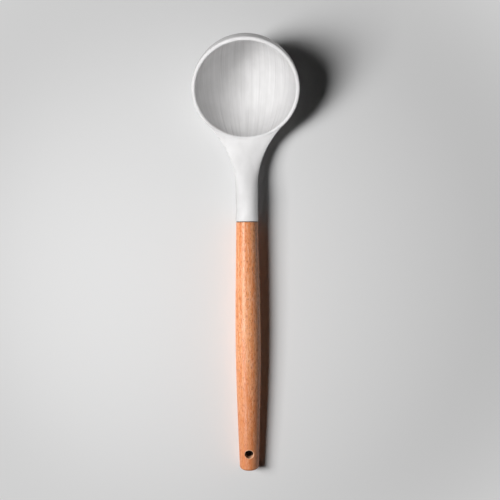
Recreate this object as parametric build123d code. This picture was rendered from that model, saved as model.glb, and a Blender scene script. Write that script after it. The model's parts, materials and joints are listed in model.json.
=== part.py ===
from build123d import *
import os
from math import asin, atan2, cos, degrees, hypot, pi, radians, sin, sqrt, tan

# Soup ladle: a silicone bowl and neck moulded over a stiff perforated insert,
# whose plug is glued into the blind bore of a turned beech handle.
#
# It is drawn with the handle's axis along Y, the joint between silicone and
# wood at the origin and the bowl towards +Y, and is then laid on the table.
# Lengths are in millimetres and angles in degrees.

# Bowl: a little more than half of a sphere, tipped back against the handle
bowl_outer_radius = 39.2
bowl_wall = 2.8
bowl_reach = 94.9
bowl_rise = 22.4
rim_above_centre = 2.1
rim_pitch = 35.7
rim_rounding = 1.3
rim_bevel_slope = 45.0
rim_rounding_sweep = 80.0

# Neck: round at the wood, then wider, low-crowned on top and boat-shaped below
neck_radius = 8.35
neck_round_length = 12.0
neck_flat_length = 56.0
neck_top_at_bowl = 1.6
neck_edge_drop = 3.4
rim_edge_drop = 1.5
rim_joining_length = 22.0
throat_softness = 0.4
top_above_rim = 0.06
underside_slope = 1.7
shoulder_back = 24.0
shoulder_bite = 8.0
buried_length = 7.0
buried_depth = 1.6
joint_rounding = 0.4

# Insert: how deep it lies under the silicone, and its own features
bowl_cover = 0.7
neck_cover = 2.0
soft_lip = 4.0
hole_diameter = 5.0
inner_ring_angle = 34.0
outer_ring_angle = 62.0
inner_ring_holes = 6
outer_ring_holes = 12
window_diameter = 5.0
window_pitch = 11.0
first_window = 14.0
window_count = 4
plug_diameter = 10.0
plug_length = 42.0
plug_tip_chamfer = 1.0
groove_depth = 0.6
groove_width = 1.6
groove_pitch = 8.0
groove_count = 4

# Glue: its film round the plug and the well that it fills past the plug's tip
glue_film = 0.25
glue_well = 2.0

# Handle: turned beech, fullest a little short of its middle
handle_length = 191.2
grip_radius = 9.75
grip_distance = 92.0
tail_radius = 7.35
tail_rounding = 2.2
collar_chamfer = 0.4
drill_point_angle = 59.0
hang_hole_diameter = 6.2
hang_hole_from_end = 13.2
hang_hole_rounding = 0.6

overrun = 20.0

# Shares of the neck's length where its sections stand
station_shares = (0, 0.1, 0.2, 0.3, 0.4, 0.5, 0.6, 0.69, 0.77, 0.84, 0.88, 0.91, 0.94, 0.97, 1)

# How far a section's curve is pulled towards its corner, for a quarter of a
# circle, for the crowned neck and for the flat with tight edges at the rim
round_pull_share = 4 / 3 * tan(pi / 8)
crown_pull_share = 0.58
flat_pull_share = 0.93

# How steeply the handle swells at its collar and draws in at its tail
collar_slope_share = 0.014
tail_slope_share = -0.033

bowl_inner_radius = bowl_outer_radius - bowl_wall
bowl_centre = Vector(0, bowl_reach, bowl_rise)
pitch = radians(rim_pitch)

# The rim's plane lies above the sphere's centre and faces out of the opening
rim_normal = Vector(0, -sin(pitch), cos(pitch))
rim_centre = bowl_centre + rim_normal * rim_above_centre
rim_plane = Plane(origin=rim_centre, x_dir=(1, 0, 0), z_dir=rim_normal)

shoulder = bowl_reach - shoulder_back
neck_end = shoulder + buried_length


def ease(share):
    """Runs smoothly from 0 to 1 as share does, and stays level beyond."""
    share = min(max(share, 0), 1)
    return share * share * (3 - 2 * share)


def between(first, last, share):
    return first + (last - first) * share


def flatness(y):
    """How far the neck has turned from round to flat at y."""
    return ease((y - neck_round_length) / (neck_flat_length - neck_round_length))


def top_height(y):
    """The neck's top line, which swings up into the plane of the rim."""
    neck = between(neck_radius, neck_top_at_bowl, flatness(y))
    rim = rim_centre.Z - (rim_centre.Y - y) * tan(pitch) + top_above_rim
    return (neck + rim) / 2 + hypot((rim - neck) / 2, throat_softness)


def joining(y):
    """How far the neck's top has turned into the plane of the rim at y."""
    return ease((y - shoulder + rim_joining_length) / rim_joining_length)


def edge_drop(y):
    """How far below its top line the neck is widest."""
    return between(between(neck_radius, neck_edge_drop, flatness(y)), rim_edge_drop, joining(y))


def swing(at, start, start_angle, end, end_value, end_angle):
    """A straight line that bends in one arc, to meet a point at an angle. The
    arc is as large as the neck's round stretch leaves room for."""
    corner = (end_value - start - end * tan(end_angle)) / (tan(start_angle) - tan(end_angle))
    before = (corner - neck_round_length) / cos(start_angle)
    after = (end - corner) / cos(end_angle)
    tangent = min(before, after)
    radius = tangent / tan((end_angle - start_angle) / 2)
    bend = corner - tangent * cos(start_angle)
    if at < bend:
        return start + at * tan(start_angle)
    if at > corner + tangent * cos(end_angle):
        return end_value - (end - at) * tan(end_angle)
    centre = bend - radius * sin(start_angle)
    level = start + bend * tan(start_angle) + radius * cos(start_angle)
    return level - radius * sqrt(1 - ((at - centre) / radius) ** 2)


def buried_radius(y):
    """The sphere that the neck's end follows inside the bowl's wall."""
    return bowl_outer_radius - buried_depth * max(y - shoulder, 0) / buried_length


def side_on_sphere(y):
    fall = bowl_rise - top_height(y) + edge_drop(y)
    return sqrt(buried_radius(y) ** 2 - (bowl_reach - y) ** 2 - fall**2)


def side_reach(y):
    """Half the neck's width: parallel, then one flare on to the bowl's side."""
    if y > shoulder:
        return side_on_sphere(y)
    side = side_on_sphere(shoulder)
    fall = bowl_rise - top_height(shoulder) + edge_drop(shoulder)
    steepness = (shoulder_back + fall * tan(pitch)) / side
    angle = atan2(steepness, 1) - radians(shoulder_bite)
    return swing(y, neck_radius, 0, shoulder, side, angle)


def keel_on_sphere(y):
    return bowl_rise - sqrt(buried_radius(y) ** 2 - (bowl_reach - y) ** 2)


def keel_height(y):
    """The neck's lowest line: straight, then one bend down on to the bowl."""
    if y > shoulder:
        return keel_on_sphere(y)
    angle = radians(shoulder_bite) - asin(shoulder_back / bowl_outer_radius)
    lean = radians(underside_slope)
    return swing(y, -neck_radius, lean, shoulder, keel_on_sphere(shoulder), angle)


def neck_section(y, depth):
    """Outline of the neck at y: an arc below, and above it two curves that
    turn from a half circle into a low crown, and at the rim into a flat."""
    flat = flatness(y)
    half = side_reach(y) - depth * (1 + flat)
    top = top_height(y) - depth
    keel = keel_height(y) + depth
    drop = edge_drop(y) * (neck_radius - depth) / neck_radius
    edge = top - drop
    belly_depth = edge - keel
    belly_radius = (half**2 + belly_depth**2) / (2 * belly_depth)
    lean = atan2(half, belly_radius - belly_depth)
    pull = between(between(round_pull_share, crown_pull_share, flat), flat_pull_share, joining(y))
    reach = half + round_pull_share * drop * cos(lean)
    lift = edge + round_pull_share * drop * sin(lean)

    belly = ThreePointArc((-half, y, edge), (0, y, keel), (half, y, edge))
    right = Bezier((half, y, edge), (reach, y, lift), (pull * half, y, top), (0, y, top))
    left = Bezier((0, y, top), (-pull * half, y, top), (-reach, y, lift), (-half, y, edge))
    return Wire([belly, right, left])


def neck_form(depth):
    """The neck from the joint to inside the bowl, with depth taken off it."""
    return Solid.make_loft([neck_section(share * neck_end, depth) for share in station_shares])


def on_rim(shape):
    """Sets a shape drawn about the origin on the rim's plane."""
    return rim_plane.location * shape


def bowl_hollow():
    """What is taken out of the bowl: the inner sphere, its softened edge and
    a bevel that clears everything above the rim."""
    centre = Vector(0, -rim_above_centre)
    above = rim_above_centre - rim_rounding
    lip = Vector(sqrt((bowl_inner_radius + rim_rounding) ** 2 - above**2), -rim_rounding)
    seam = centre + (lip - centre) * (bowl_inner_radius / (bowl_inner_radius + rim_rounding))
    first = pi + atan2(above, lip.X)
    last = pi - radians(rim_rounding_sweep)
    middle = (first + last) / 2
    bevel = lip + Vector(cos(last), sin(last)) * rim_rounding
    halfway = lip + Vector(cos(middle), sin(middle)) * rim_rounding
    outside = bevel + Vector(overrun, overrun * tan(radians(rim_bevel_slope)))
    low_angle = (atan2(above, lip.X) - pi / 2) / 2
    low = centre + Vector(cos(low_angle), sin(low_angle)) * bowl_inner_radius
    bottom = centre + Vector(0, -bowl_inner_radius)
    top = Vector(0, outside.Y)
    outline = [
        ThreePointArc(bottom, low, seam),
        ThreePointArc(seam, halfway, bevel),
        Line(bevel, outside),
        Line(outside, top),
        Line(top, bottom),
    ]
    profile = Plane.XZ * make_face(outline)
    return on_rim(revolve(profile, Axis.Z))


def sphere(radius):
    """A sphere about the bowl's centre, drawn on the rim's plane."""
    return Pos(0, 0, -rim_above_centre) * Sphere(radius)


def capped_sphere(radius, below=0):
    """The part of a sphere under the rim's plane, cut off below it."""
    size = 2 * (radius + overrun)
    keep = Pos(0, 0, -below) * Box(size, size, size, align=(Align.CENTER, Align.CENTER, Align.MAX))
    return on_rim(sphere(radius) & keep)


def head_form():
    """The outer form of the silicone, with the bowl hollowed out."""
    bowl = capped_sphere(bowl_outer_radius)
    rim = bowl.edges().filter_by(GeomType.CIRCLE).sort_by(SortBy.LENGTH)[-1]
    bowl = fillet(rim, rim_rounding)
    head = bowl + neck_form(0) - bowl_hollow()
    joint = head.faces().sort_by(Axis.Y)[0]
    return fillet(joint.edges(), joint_rounding)


def ring_of_holes(angle, count):
    """Holes square to the bowl's wall, in a ring at an angle from its pole."""
    hole = Cylinder(
        hole_diameter / 2,
        bowl_outer_radius,
        align=(Align.CENTER, Align.CENTER, Align.MIN),
    )
    tipped = Rot(180 - angle, 0, 0) * hole
    at_centre = Pos(0, 0, -rim_above_centre)
    return [at_centre * Rot(0, 0, 360 * (index + 1 / 2) / count) * tipped for index in range(count)]


def insert():
    """The stiff insert: a perforated dish, a neck beam and a grooved plug."""
    dish_radius = bowl_outer_radius - bowl_cover
    inside = on_rim(sphere(bowl_inner_radius + bowl_cover))
    dish = capped_sphere(dish_radius, soft_lip) - inside
    core = dish + (neck_form(neck_cover) - inside)

    holes = ring_of_holes(inner_ring_angle, inner_ring_holes)
    holes += ring_of_holes(outer_ring_angle, outer_ring_holes)
    for hole in holes:
        core -= on_rim(hole)
    for index in range(window_count):
        window = Cylinder(window_diameter / 2, 2 * neck_radius)
        core -= Pos(0, first_window + index * window_pitch, 0) * window
    return core + plug()


def along_handle(shape):
    """Turns a shape drawn along +Z to run from the joint into the handle."""
    return Rot(90, 0, 0) * shape


def plug():
    shank = Cylinder(
        plug_diameter / 2, plug_length, align=(Align.CENTER, Align.CENTER, Align.MIN)
    )
    tip = shank.edges().filter_by(GeomType.CIRCLE).sort_by(Axis.Z)[-1]
    shank = chamfer(tip, plug_tip_chamfer)
    ring = Cylinder(plug_diameter, groove_width)
    ring -= Cylinder(plug_diameter / 2 - groove_depth, groove_width)
    for index in range(groove_count):
        shank -= Pos(0, 0, groove_pitch * (index + 1)) * ring
    return along_handle(shank)


def bore():
    """The blind bore, with the cone that the drill leaves."""
    radius = plug_diameter / 2 + glue_film
    depth = plug_length + glue_well
    point = radius / tan(radians(drill_point_angle))
    outline = Polyline((0, 0), (radius, 0), (radius, depth), (0, depth + point), close=True)
    return along_handle(revolve(Plane.XZ * make_face(outline), Axis.Z))


def handle():
    """Turned body with a softened tail, the blind bore and the hanging hole."""
    joint = Vector(neck_radius, 0)
    tail = Vector(tail_radius, handle_length)
    swell = Spline(
        joint,
        Vector(grip_radius, grip_distance),
        tail,
        tangents=[(collar_slope_share, 1), (tail_slope_share, 1)],
    )
    outline = [
        swell,
        Line(tail, Vector(0, handle_length)),
        Line(Vector(0, handle_length), Vector(0, 0)),
        Line(Vector(0, 0), joint),
    ]
    body = revolve(Plane.XZ * make_face(outline), Axis.Z)
    ends = body.edges().filter_by(GeomType.CIRCLE).sort_by(Axis.Z)
    body = fillet(ends[-1], tail_rounding)
    ends = body.edges().filter_by(GeomType.CIRCLE).sort_by(Axis.Z)
    body = chamfer(ends[0], collar_chamfer)
    body = along_handle(body)

    hole = Pos(0, hang_hole_from_end - handle_length, 0) * Cylinder(
        hang_hole_diameter / 2, 2 * (grip_radius + overrun)
    )
    before = body.edges()
    body -= hole
    mouths = body.edges() - before
    mouths = mouths.filter_by(lambda edge: edge.center().Y < -handle_length / 2)
    mouths = mouths.filter_by(GeomType.LINE, reverse=True)
    body = fillet(mouths, hang_hole_rounding)
    return body - bore()


def table_location():
    """Lays the ladle on the table, on its bowl and the tail of its handle."""
    tail_reach = handle_length - tail_rounding
    tail_centre = tail_radius - tail_slope_share * tail_rounding - tail_rounding
    run = bowl_reach + tail_reach
    rise = bowl_rise + tail_centre
    lean = asin((bowl_outer_radius - tail_rounding) / hypot(run, rise)) - atan2(rise, run)
    far = bowl_reach * cos(lean) - bowl_rise * sin(lean) + bowl_outer_radius
    near = -tail_reach * cos(lean) - tail_centre * sin(lean) - tail_rounding
    low = bowl_reach * sin(lean) + bowl_rise * cos(lean) - bowl_outer_radius
    print("handle rises by", degrees(lean), "degrees")
    return Pos(0, -(far + near) / 2, -low) * Rot(degrees(lean), 0, 0)


core = insert()
wood = handle()
glue = bore() - plug()
silicone = head_form() - core

nodes = {
    "silicone_head": silicone,
    "nylon_core": core,
    "beech_handle": wood,
    "epoxy_bond": glue,
}

os.makedirs("parts", exist_ok=True)
place = table_location()
for name, shape in nodes.items():
    shape = place * shape
    print(name, len(shape.solids()), "solid", round(shape.volume, 1), "mm3")
    export_step(shape, f"parts/{name}.step")
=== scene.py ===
import json
from math import cos, radians, sin, tan

import bpy
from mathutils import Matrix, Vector


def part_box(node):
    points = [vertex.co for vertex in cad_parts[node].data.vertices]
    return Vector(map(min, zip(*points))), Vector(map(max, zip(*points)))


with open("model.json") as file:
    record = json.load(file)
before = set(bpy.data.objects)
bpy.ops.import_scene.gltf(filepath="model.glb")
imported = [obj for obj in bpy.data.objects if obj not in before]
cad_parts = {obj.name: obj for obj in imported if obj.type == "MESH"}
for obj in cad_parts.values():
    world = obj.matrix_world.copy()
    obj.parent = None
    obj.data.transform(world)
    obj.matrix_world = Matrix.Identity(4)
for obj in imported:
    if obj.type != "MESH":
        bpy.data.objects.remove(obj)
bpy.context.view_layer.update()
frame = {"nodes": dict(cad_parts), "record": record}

# Soup ladle: a moulded silicone bowl and neck on a turned, lacquered beech
# handle. It lies on a pale table and is seen from straight above.
# Lengths are in metres, written as a number of millimetres times mm.
mm = 0.001

# Sizes and places of the ladle, most of them read from the model itself. The
# bowl is round outside and rests on the table.
head_high = Vector(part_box("silicone_head")[1])
bowl_radius = head_high.x
bowl_centre = Vector((0, head_high.y - bowl_radius, bowl_radius))
bowl_wall = 2.8 * mm
rim_pitch = radians(35.7)
hang_hole = frame["record"]["mounts"][0]
hole_place = Vector(hang_hole["pos_m"])
hole_radius = hang_hole["dims"]["r_mm"] * mm
hole_axis = Vector(hang_hole["axis"])
handle_axis = Vector((0, hole_axis.z, -hole_axis.y))
hole_to_joint = 178 * mm
joint_place = hole_place + handle_axis * hole_to_joint
tail_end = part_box("beech_handle")[0][1]

# Marks: each fades in from its edge to where it is full. For the groove's dark
# line, painted shade and dirt, these are distances from the joint, and for the
# painted highlight round the hanging hole's mouth and the painted shade on its
# drilled wall they are distances from the hole's axis. The painted shade
# towards the tail begins at a place along the handle. The bowl's lip stays
# plain: polishing lines begin at a share of the wall's thickness, counted from
# outside.
groove_edge = 0.6 * mm
groove_full = 0.25 * mm
# Painted highlight: a pale ring round the hanging hole's mouth.
hole_highlight_edge = hole_radius + 0.8 * mm
hole_highlight_full = hole_radius + 0.3 * mm
# Painted shade: the drilled wall inside the hanging hole is near black.
hole_shade_edge = hole_radius + 0.1 * mm
hole_shade_full = hole_radius + 0.02 * mm
tail_shade_edge = hole_place.y + 100 * mm
plain_wall_share = 0.8

# Height over the bowl's centre of the line where its polishing strokes meet
stroke_centre_height = 55 * mm

# Depth of the fine relief on each piece of the ladle
relief_depth = 0.05 * mm

# Camera: straight down, a little to the side of the ladle's middle. Blender
# takes the width of the sensor as plain millimetres.
camera_height = 474 * mm
camera_across = 2.1 * mm
tail_to_camera = 169.65 * mm
camera_along = tail_end + tail_to_camera
camera_turn = radians(-0.55)
sensor_width = 36
view_width = 395 * mm

# Light: a tall narrow window close by on the left, in panes that are brighter
# higher up. Each reaches from one angle to the next, seen from the ladle.
window_distance = 390 * mm
window_along = -22 * mm
window_width = 180 * mm
panes = {
    "low_pane": dict(bottom=37.5, top=46.5, glow=13.7),
    "middle_pane": dict(bottom=46.5, top=55.5, glow=22.9),
    "high_pane": dict(bottom=55.5, top=64.5, glow=25.1),
}
room_glow = 0.005

# Watts that an area lamp needs for each square metre and unit of its glow
watts_per_glow = 4

# Fills: silicone passes light on inside its wall, so its shaded side stays
# pale. Broad soft lamps, which reach the silicone alone, stand in for that.
# Their places are from the bowl's centre, and their power is in watts.
fill_size = 500 * mm
fills = {
    "handle_fill": dict(place=Vector((0, -780, 370)) * mm, power=2.95),
    "high_fill": dict(place=Vector((100, 100, 780)) * mm, power=2.8),
}

# Backdrop: the table fades into a plain pale room away from the ladle
backdrop_colour = "#D6D6D6"
fade_start = 180 * mm
fade_end = 340 * mm
table_reach = 3


def linear(colour):
    """An sRGB hex colour as linear red, green, blue and alpha."""
    shades = [int(colour[place : place + 2], 16) / 255 for place in (1, 3, 5)]
    flat = [shade / 12.92 if shade <= 0.04045 else ((shade + 0.055) / 1.055) ** 2.4 for shade in shades]
    return (*flat, 1)


def add(tree, kind, settings, links=()):
    """Adds a node with its settings, by property or socket, and its links.
    On a socket, a colour is an sRGB hex value."""
    made = tree.nodes.new(kind)
    for name, value in settings.items():
        if isinstance(name, str) and hasattr(made, name):
            setattr(made, name, value)
        elif isinstance(value, str):
            made.inputs[name].default_value = linear(value)
        else:
            made.inputs[name].default_value = value
    for name, source in dict(links).items():
        tree.links.new(source, made.inputs[name])
    return made


def new_material(name):
    material = bpy.data.materials.new(name)
    material.use_nodes = True
    material.node_tree.nodes.clear()
    return material, material.node_tree


def finish_material(tree, surface, relief=None):
    """Ends a material in its surface, with a relief where it has one."""
    if relief:
        tree.links.new(relief.outputs["Normal"], surface.inputs["Normal"])
    add(tree, "ShaderNodeOutputMaterial", {}, {"Surface": surface.outputs[0]})


def grains(tree, place, size, detail=2.0):
    """A cloudy pattern whose grains have a size in metres along each direction."""
    settings = {"operation": "MULTIPLY", 1: tuple(1 / length for length in size)}
    scaled = add(tree, "ShaderNodeVectorMath", settings, {0: place}).outputs[0]
    settings = {"Scale": 1.0, "Detail": detail}
    return add(tree, "ShaderNodeTexNoise", settings, {"Vector": scaled}).outputs[0]


def tinted(tree, colour, shade, marks, edge, full, most=1.0, within=None):
    """Lays a shade over a colour where the marks run from their edge to where
    they are full, at most so strong, and only within an area if one is given.
    The colour is a hex value or a socket."""
    settings = {"interpolation_type": "SMOOTHSTEP", "From Min": edge, "From Max": full, "To Max": most}
    share = add(tree, "ShaderNodeMapRange", settings, {"Value": marks}).outputs[0]
    if within:
        links = {0: share, 1: within}
        share = add(tree, "ShaderNodeMath", {"operation": "MULTIPLY"}, links).outputs[0]
    settings, links = {"data_type": "RGBA", 7: shade}, {0: share}
    ground = settings if isinstance(colour, str) else links
    ground[6] = colour
    return add(tree, "ShaderNodeMix", settings, links).outputs[2]


def from_joint(tree, place):
    """How far a place lies along the handle from the fine groove between
    silicone and wood, which is darkened with painted shade of the narrow gap
    and with dirt that settles there."""
    settings = {"operation": "SUBTRACT", 1: joint_place}
    offset = add(tree, "ShaderNodeVectorMath", settings, {0: place}).outputs[0]
    settings = {"operation": "DOT_PRODUCT", 1: handle_axis}
    along = add(tree, "ShaderNodeVectorMath", settings, {0: offset}).outputs["Value"]
    return add(tree, "ShaderNodeMath", {"operation": "ABSOLUTE"}, {0: along}).outputs[0]


def along_strokes(tree, place):
    """A place as metres across the mould's polishing strokes and along them,
    and its distance from the bowl's centre. The strokes lie in planes that
    meet in one line, which runs over the opening at the pitch of the rim."""
    settings = {"operation": "SUBTRACT", 1: bowl_centre}
    from_centre = add(tree, "ShaderNodeVectorMath", settings, {0: place}).outputs[0]
    parts = add(tree, "ShaderNodeSeparateXYZ", {}, {0: from_centre})
    below_rim = Vector((0, sin(rim_pitch), -cos(rim_pitch)))
    settings = {"operation": "DOT_PRODUCT", 1: below_rim}
    depth = add(tree, "ShaderNodeVectorMath", settings, {0: from_centre}).outputs["Value"]
    settings = {"operation": "ADD", 1: stroke_centre_height}
    fall = add(tree, "ShaderNodeMath", settings, {0: depth}).outputs[0]
    links = {0: parts.outputs["X"], 1: fall}
    slope = add(tree, "ShaderNodeMath", {"operation": "DIVIDE"}, links).outputs[0]
    settings = {"operation": "MULTIPLY", 1: bowl_radius + stroke_centre_height}
    across = add(tree, "ShaderNodeMath", settings, {0: slope}).outputs[0]
    strokes = add(tree, "ShaderNodeCombineXYZ", {}, {"X": across, "Y": parts.outputs["Y"]})
    away = add(tree, "ShaderNodeVectorMath", {"operation": "LENGTH"}, {0: from_centre})
    return strokes.outputs[0], away.outputs["Value"]


def moulded_silicone():
    """White silicone rubber, moulded: off-white and almost matt, with a soft
    cloudiness. Inside the bowl the mould's polishing lines show as soft bands,
    fine grey hairs and a few darker scores, from the neck to the far lip. The
    real hairs and grain are finer, and are drawn as coarse as they need to show."""
    material, tree = new_material("moulded_silicone")
    place = add(tree, "ShaderNodeTexCoord", {}).outputs["Object"]
    strokes, away = along_strokes(tree, place)
    groove = from_joint(tree, place)
    settings = {
        "interpolation_type": "SMOOTHSTEP",
        "From Min": bowl_radius - plain_wall_share * bowl_wall,
        "From Max": bowl_radius - bowl_wall,
    }
    inside = add(tree, "ShaderNodeMapRange", settings, {"Value": away}).outputs[0]
    clouds = grains(tree, place, (9 * mm, 14 * mm, 9 * mm))
    bands = grains(tree, strokes, (3.2 * mm, 120 * mm, 1))
    hairs = grains(tree, strokes, (0.6 * mm, 45 * mm, 1), detail=3.0)
    scores = grains(tree, strokes, (1.4 * mm, 70 * mm, 1), detail=0.0)
    skin = grains(tree, place, (0.8 * mm, 0.8 * mm, 0.8 * mm), detail=3.0)

    colour = tinted(tree, "#C3C2C2", "#BDBCBC", clouds, 0.35, 0.65)
    colour = tinted(tree, colour, "#B7B6B6", bands, 0.42, 0.6, most=0.5, within=inside)
    colour = tinted(tree, colour, "#ACABAB", hairs, 0.56, 0.66, most=0.6, within=inside)
    colour = tinted(tree, colour, "#8E8C8C", scores, 0.73, 0.78, most=0.45, within=inside)
    # A dark line at the joint: painted shade of the narrow gap, with dirt that settles there.
    colour = tinted(tree, colour, "#5E554D", groove, groove_edge, groove_full, most=0.8)

    relief = add(tree, "ShaderNodeBump", {"Strength": 0.12, "Distance": relief_depth}, {"Height": skin})
    settings = {
        "interpolation_type": "SMOOTHSTEP",
        "From Min": 0.3,
        "From Max": 0.7,
        "To Min": 0.62,
        "To Max": 0.72,
    }
    roughness = add(tree, "ShaderNodeMapRange", settings, {"Value": clouds}).outputs[0]
    links = {"Base Color": colour, "Roughness": roughness}
    surface = add(tree, "ShaderNodeBsdfPrincipled", {"IOR": 1.41}, links)
    finish_material(tree, surface, relief)
    return material


def lacquered_beech():
    """Steamed beech, turned and lacquered: salmon brown, with a soft figure,
    fine streaks and pores, pale rays and short dark flecks along the grain.
    Real pores and rays are finer, and are drawn as coarse as they need to show.
    Painted shade darkens the wood towards the tail, and end grain is darker
    still, partly its own colour and partly painted shade. The thin lacquer adds a
    satin line along the lit side."""
    material, tree = new_material("lacquered_beech")
    place = add(tree, "ShaderNodeTexCoord", {}).outputs["Object"]
    figure = grains(tree, place, (2.0 * mm, 90 * mm, 2.0 * mm), detail=3.0)
    streaks = grains(tree, place, (0.8 * mm, 12 * mm, 0.8 * mm), detail=3.0)
    pores = grains(tree, place, (0.6 * mm, 3.2 * mm, 0.6 * mm), detail=3.0)
    rays = grains(tree, place, (0.7 * mm, 4.5 * mm, 0.7 * mm), detail=2.0)
    flecks = grains(tree, place, (0.6 * mm, 2.6 * mm, 0.6 * mm), detail=1.0)
    lengthwise = add(tree, "ShaderNodeSeparateXYZ", {}, {0: place}).outputs["Y"]
    facing = add(tree, "ShaderNodeNewGeometry", {}).outputs["True Normal"]
    facing_bowl = add(tree, "ShaderNodeSeparateXYZ", {}, {0: facing}).outputs["Y"]
    settings = {"operation": "MULTIPLY", 1: (1, 1, 0)}
    level = add(tree, "ShaderNodeVectorMath", settings, {0: place}).outputs[0]
    settings = {"operation": "DISTANCE", 1: (hole_place.x, hole_place.y, 0)}
    from_hole = add(tree, "ShaderNodeVectorMath", settings, {0: level}).outputs["Value"]
    groove = from_joint(tree, place)

    colour = tinted(tree, "#F2A974", "#E68E55", figure, 0.4, 0.62)
    colour = tinted(tree, colour, "#FEBF9D", streaks, 0.45, 0.68, most=0.5)
    colour = tinted(tree, colour, "#CA6E3E", pores, 0.48, 0.7, most=0.7)
    colour = tinted(tree, colour, "#FFCAA9", rays, 0.52, 0.7, most=0.55)
    colour = tinted(tree, colour, "#A15630", flecks, 0.58, 0.72, most=0.65)
    # Painted shade: the wood darkens towards the tail, where less light reaches.
    colour = tinted(tree, colour, "#C3662C", lengthwise, tail_shade_edge, tail_end, most=0.42)
    # Darker end grain on faces towards the tail: partly the wood's own end grain and partly painted
    # shade.
    colour = tinted(tree, colour, "#8A4A2C", facing_bowl, -0.4, -0.9, most=0.85)
    # Painted highlight: a pale ring round the hanging hole's mouth, where its rounded edge catches the
    # light.
    colour = tinted(tree, colour, "#FFD3AF", from_hole, hole_highlight_edge, hole_highlight_full, most=0.6)
    # Painted shade: the drilled wall inside the hanging hole, which lies in shade, is near black.
    colour = tinted(tree, colour, "#2E1A10", from_hole, hole_shade_edge, hole_shade_full, most=0.95)
    # A dark line at the joint: painted shade of the narrow gap, with dirt that settles there.
    colour = tinted(tree, colour, "#5A3826", groove, groove_edge, groove_full, most=0.8)

    relief = add(tree, "ShaderNodeBump", {"Strength": 0.2, "Distance": relief_depth}, {"Height": streaks})
    settings = {"To Min": 0.42, "To Max": 0.52}
    roughness = add(tree, "ShaderNodeMapRange", settings, {"Value": pores}).outputs[0]
    around = add(tree, "ShaderNodeTangent", {"direction_type": "RADIAL", "axis": "Y"}).outputs[0]
    settings = {"IOR": 1.5, "Anisotropic": 0.7, "Anisotropic Rotation": 0.25}
    links = {"Base Color": colour, "Roughness": roughness, "Tangent": around}
    surface = add(tree, "ShaderNodeBsdfPrincipled", settings, links)
    finish_material(tree, surface, relief)
    return material


def moulded_nylon():
    """Glass-filled nylon, moulded: warm grey-white with the faint flow marks
    that the fibres leave. It is sealed under the silicone."""
    material, tree = new_material("moulded_nylon")
    place = add(tree, "ShaderNodeTexCoord", {}).outputs["Object"]
    flow = grains(tree, place, (1.5 * mm, 8 * mm, 1.5 * mm), detail=4.0)
    colour = tinted(tree, "#D8D2C4", "#C6BFAF", flow, 0.35, 0.65)
    relief = add(tree, "ShaderNodeBump", {"Strength": 0.15, "Distance": relief_depth}, {"Height": flow})
    settings = {"IOR": 1.53, "Roughness": 0.45}
    surface = add(tree, "ShaderNodeBsdfPrincipled", settings, {"Base Color": colour})
    finish_material(tree, surface, relief)
    return material


def cured_epoxy():
    """Two-part epoxy, cured in the joint: honey yellow and glossy, with fine
    bubbles. It is sealed inside the handle."""
    material, tree = new_material("cured_epoxy")
    place = add(tree, "ShaderNodeTexCoord", {}).outputs["Object"]
    bubbles = grains(tree, place, (0.4 * mm, 0.4 * mm, 0.4 * mm), detail=1.0)
    colour = tinted(tree, "#D9BE83", "#EBDCB4", bubbles, 0.6, 0.7)
    relief = add(tree, "ShaderNodeBump", {"Strength": 0.2, "Distance": relief_depth}, {"Height": bubbles})
    settings = {"IOR": 1.55, "Roughness": 0.2}
    surface = add(tree, "ShaderNodeBsdfPrincipled", settings, {"Base Color": colour})
    finish_material(tree, surface, relief)
    return material


def seen(tree):
    """1 for what the camera sees, also in gloss or glass, and else 0."""
    path = add(tree, "ShaderNodeLightPath", {})
    links = {0: path.outputs["Is Glossy Ray"], 1: path.outputs["Is Transmission Ray"]}
    gloss = add(tree, "ShaderNodeMath", {"operation": "MAXIMUM"}, links)
    links = {0: path.outputs["Is Camera Ray"], 1: gloss.outputs[0]}
    return add(tree, "ShaderNodeMath", {"operation": "MAXIMUM"}, links).outputs[0]


def pale_table():
    """Matt pale table top, which takes the shadow near the ladle and fades
    into the backdrop's own colour further out."""
    material, tree = new_material("pale_table")
    settings = {"Base Color": "#EBEBEB", "Roughness": 0.85, "Specular IOR Level": 0.2}
    surface = add(tree, "ShaderNodeBsdfPrincipled", settings)
    place = add(tree, "ShaderNodeNewGeometry", {}).outputs["Position"]
    away = add(tree, "ShaderNodeVectorMath", {"operation": "LENGTH"}, {0: place}).outputs["Value"]
    settings = {"interpolation_type": "SMOOTHSTEP", "From Min": fade_start, "From Max": fade_end}
    fade = add(tree, "ShaderNodeMapRange", settings, {"Value": away}).outputs[0]
    links = {0: fade, 1: seen(tree)}
    share = add(tree, "ShaderNodeMath", {"operation": "MULTIPLY"}, links).outputs[0]
    plain = add(tree, "ShaderNodeEmission", {"Color": backdrop_colour})
    links = {0: share, 1: surface.outputs[0], 2: plain.outputs[0]}
    finish_material(tree, add(tree, "ShaderNodeMixShader", {}, links))
    return material


def lay_table():
    mesh = bpy.data.meshes.new("table_top")
    corners = [(x * table_reach, y * table_reach, 0) for x, y in ((-1, -1), (1, -1), (1, 1), (-1, 1))]
    mesh.from_pydata(corners, [], [(0, 1, 2, 3)])
    mesh.materials.append(pale_table())
    table = bpy.data.objects.new("table_top", mesh)
    bpy.context.scene.collection.objects.link(table)


def dress(node, material):
    frame["nodes"][node].data.materials.clear()
    frame["nodes"][node].data.materials.append(material)


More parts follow.
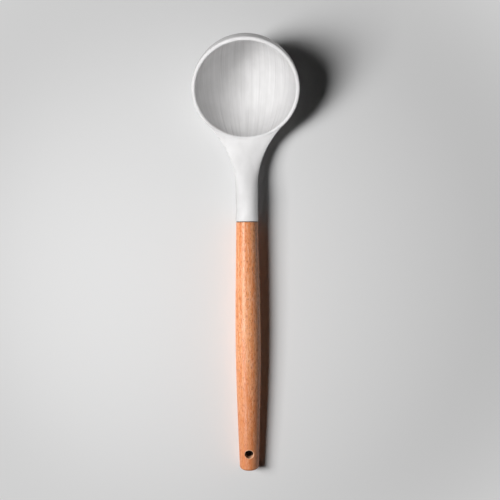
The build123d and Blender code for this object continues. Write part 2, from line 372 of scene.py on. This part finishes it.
def set_camera():
    data = bpy.data.cameras.new("camera")
    data.sensor_width = sensor_width
    data.lens = sensor_width * camera_height / view_width
    camera = bpy.data.objects.new("camera", data)
    camera.location = (camera_across, camera_along, camera_height)
    camera.rotation_euler = (0, 0, camera_turn)
    bpy.context.scene.collection.objects.link(camera)
    bpy.context.scene.camera = camera


def hang_pane(name, bottom, top, glow):
    """One pane of the window: upright, facing across the ladle."""
    low, high = (window_distance * tan(radians(angle)) for angle in (bottom, top))
    data = bpy.data.lights.new(name, "AREA")
    data.shape = "RECTANGLE"
    data.size, data.size_y = window_width, high - low
    data.energy = watts_per_glow * glow * data.size * data.size_y
    pane = bpy.data.objects.new(name, data)
    pane.location = (-window_distance, camera_along + window_along, (low + high) / 2)
    pane.rotation_mode = "QUATERNION"
    pane.rotation_quaternion = Vector((1, 0, 0)).to_track_quat("-Z", "Y")
    bpy.context.scene.collection.objects.link(pane)


def hang_fill(name, place, power, reached):
    """A broad soft lamp turned to the bowl, which lights only what is reached."""
    data = bpy.data.lights.new(name, "AREA")
    data.size = fill_size
    data.energy = power
    fill = bpy.data.objects.new(name, data)
    fill.location = bowl_centre + place
    fill.rotation_mode = "QUATERNION"
    fill.rotation_quaternion = (-place).to_track_quat("-Z", "Y")
    bpy.context.scene.collection.objects.link(fill)
    fill.light_linking.receiver_collection = reached


def light_room():
    """A dim, even room, which the camera and gloss see as a pale backdrop."""
    world = bpy.data.worlds.new("room")
    world.use_nodes = True
    tree = world.node_tree
    tree.nodes.clear()
    settings = {"To Min": room_glow, "To Max": 1.0}
    strength = add(tree, "ShaderNodeMapRange", settings, {"Value": seen(tree)}).outputs[0]
    air = add(tree, "ShaderNodeBackground", {"Color": backdrop_colour}, {"Strength": strength})
    add(tree, "ShaderNodeOutputWorld", {}, {"Surface": air.outputs[0]})
    bpy.context.scene.world = world


dress("silicone_head", moulded_silicone())
dress("nylon_core", moulded_nylon())
dress("epoxy_bond", cured_epoxy())
dress("beech_handle", lacquered_beech())
lay_table()
set_camera()
for name, pane in panes.items():
    hang_pane(name, **pane)
silicone_alone = bpy.data.collections.new("silicone_alone")
silicone_alone.objects.link(frame["nodes"]["silicone_head"])
for name, fill in fills.items():
    hang_fill(name, reached=silicone_alone, **fill)
light_room()
bpy.context.scene.view_settings.view_transform = "Standard"
